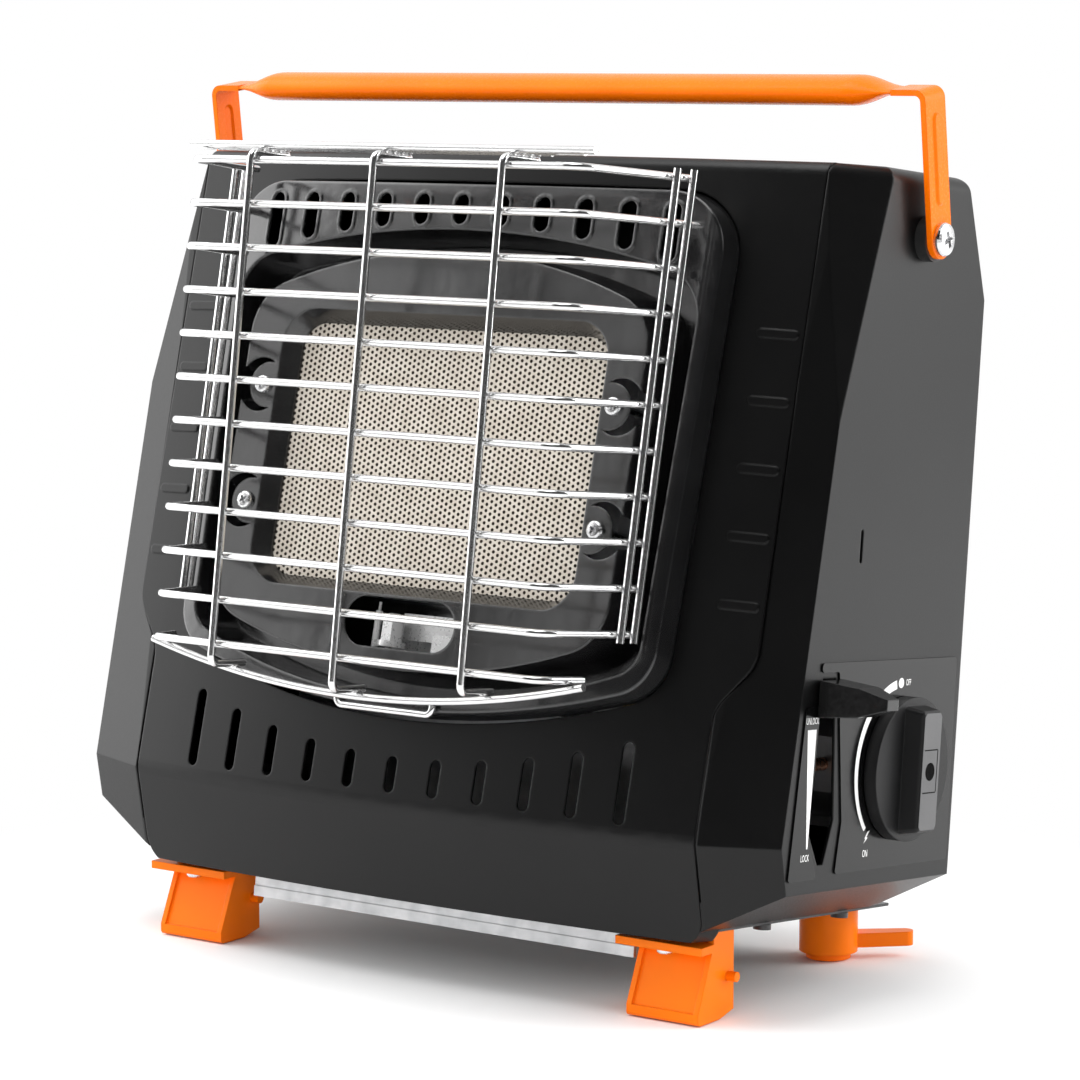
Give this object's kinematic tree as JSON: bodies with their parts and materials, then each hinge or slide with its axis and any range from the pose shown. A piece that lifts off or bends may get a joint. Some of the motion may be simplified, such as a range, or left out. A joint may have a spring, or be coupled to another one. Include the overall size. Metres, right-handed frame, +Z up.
{
  "type": "portable gas heater",
  "caption": "Portable radiant gas heater: ceramic burner behind a bowed wire guard, leaning black casing, carry handle, side control knob and lock lever, feet.",
  "frame": {"origin": "middle of the bounding box on the floor", "axes": "+X to the side with the controls, +Y to the back, +Z up; the burner faces -Y"},
  "size_m": [0.3226, 0.1852, 0.3057],
  "materials": {
    "casing_black": "satin black paint",
    "enamel_black": "gloss black enamel",
    "orange_paint": "semi-gloss orange paint",
    "orange_plastic": "moulded orange plastic",
    "chrome_wire": "chromed steel wire",
    "ceramic": "cream porous ceramic",
    "bright_steel": "plated steel",
    "galvanised": "galvanised sheet",
    "brass_fittings": "turned brass",
    "copper_pipe": "drawn copper",
    "die_cast": "die cast",
    "black_plastic": "moulded black plastic",
    "knob_black": "black knob with a grey bar",
    "lever_black": "gloss black plastic",
    "label_black": "gloss black label",
    "cartridge_paint": "plain pale paint"
  },
  "bodies": {
    "casing": {"front_panel": "casing_black", "left_cheek": "casing_black", "right_cheek": "casing_black", "rear_cover": "casing_black", "reflector": "enamel_black", "burner_frame": "enamel_black", "front_foot_left": "orange_plastic", "front_foot_right": "orange_plastic", "guard_front_wires": "chrome_wire", "guard_upright_wires": "chrome_wire", "guard_top_wires": "chrome_wire", "guard_bottom_wire": "chrome_wire", "guard_clip": "chrome_wire", "ceramic_plate": "ceramic", "burner_screws": "bright_steel", "handle_screws": "bright_steel", "foot_screws": "bright_steel", "case_screws": "bright_steel", "door_hinge_pin": "bright_steel", "twist_foot_studs": "bright_steel", "spark_electrode": "bright_steel", "thermocouple": "bright_steel", "pilot_burner": "bright_steel", "base_plate": "galvanised", "burner_box": "galvanised", "heat_shield": "galvanised", "pilot_bracket": "galvanised", "mixing_tube": "galvanised", "injector": "brass_fittings", "gas_pipe": "copper_pipe", "regulator": "die_cast", "igniter": "black_plastic", "tip_over_switch": "black_plastic", "handle_washers": "black_plastic", "cartridge_cradle": "black_plastic", "control_plate": "label_black", "lock_plate": "label_black"},
    "handle": {"handle": "orange_paint"},
    "knob": {"control_knob": "knob_black", "valve_shaft": "bright_steel"},
    "lever": {"lock_lever": "lever_black"},
    "cartridge": {"gas_cartridge": "cartridge_paint"},
    "door": {"rear_door": "casing_black"},
    "foot_left": {"twist_foot_left": "orange_plastic"},
    "foot_right": {"twist_foot_right": "orange_plastic"}
  },
  "joints": [
    {"name": "handle_fold", "type": "hinge", "parent": "casing", "child": "handle", "pos_m": [-0.00768, 0.04164, 0.25195], "axis": [-1, 0, 0], "range_deg": [-30, 105]},
    {"name": "knob_turn", "type": "hinge", "parent": "casing", "child": "knob", "pos_m": [0.13733, 0.0276, 0.07726], "axis": [1, 0, 0], "range_deg": [0, 135]},
    {"name": "lever_slide", "type": "slide", "parent": "casing", "child": "lever", "axis": [0, -0.1045, -0.9945], "range_m": [0, 0.041]},
    {"name": "cartridge_push", "type": "slide", "parent": "casing", "child": "cartridge", "axis": [1, 0, 0], "range_m": [0, 0.004]},
    {"name": "door_swing", "type": "hinge", "parent": "casing", "child": "door", "pos_m": [-0.00768, 0.07503, 0.12476], "axis": [1, 0, 0], "range_deg": [0, 100]},
    {"name": "foot_turn_left", "type": "hinge", "parent": "casing", "child": "foot_left", "pos_m": [-0.10568, 0.06217, 0.0072], "axis": [0, 0, 1], "range_deg": [-90, 90]},
    {"name": "foot_turn_right", "type": "hinge", "parent": "casing", "child": "foot_right", "pos_m": [0.09033, 0.06217, 0.0072], "axis": [0, 0, 1], "range_deg": [-90, 90]}
  ],
  "couplings": [
    {"joint": "cartridge_push", "follows": "lever_slide", "ratio": 0.097561}
  ]
}
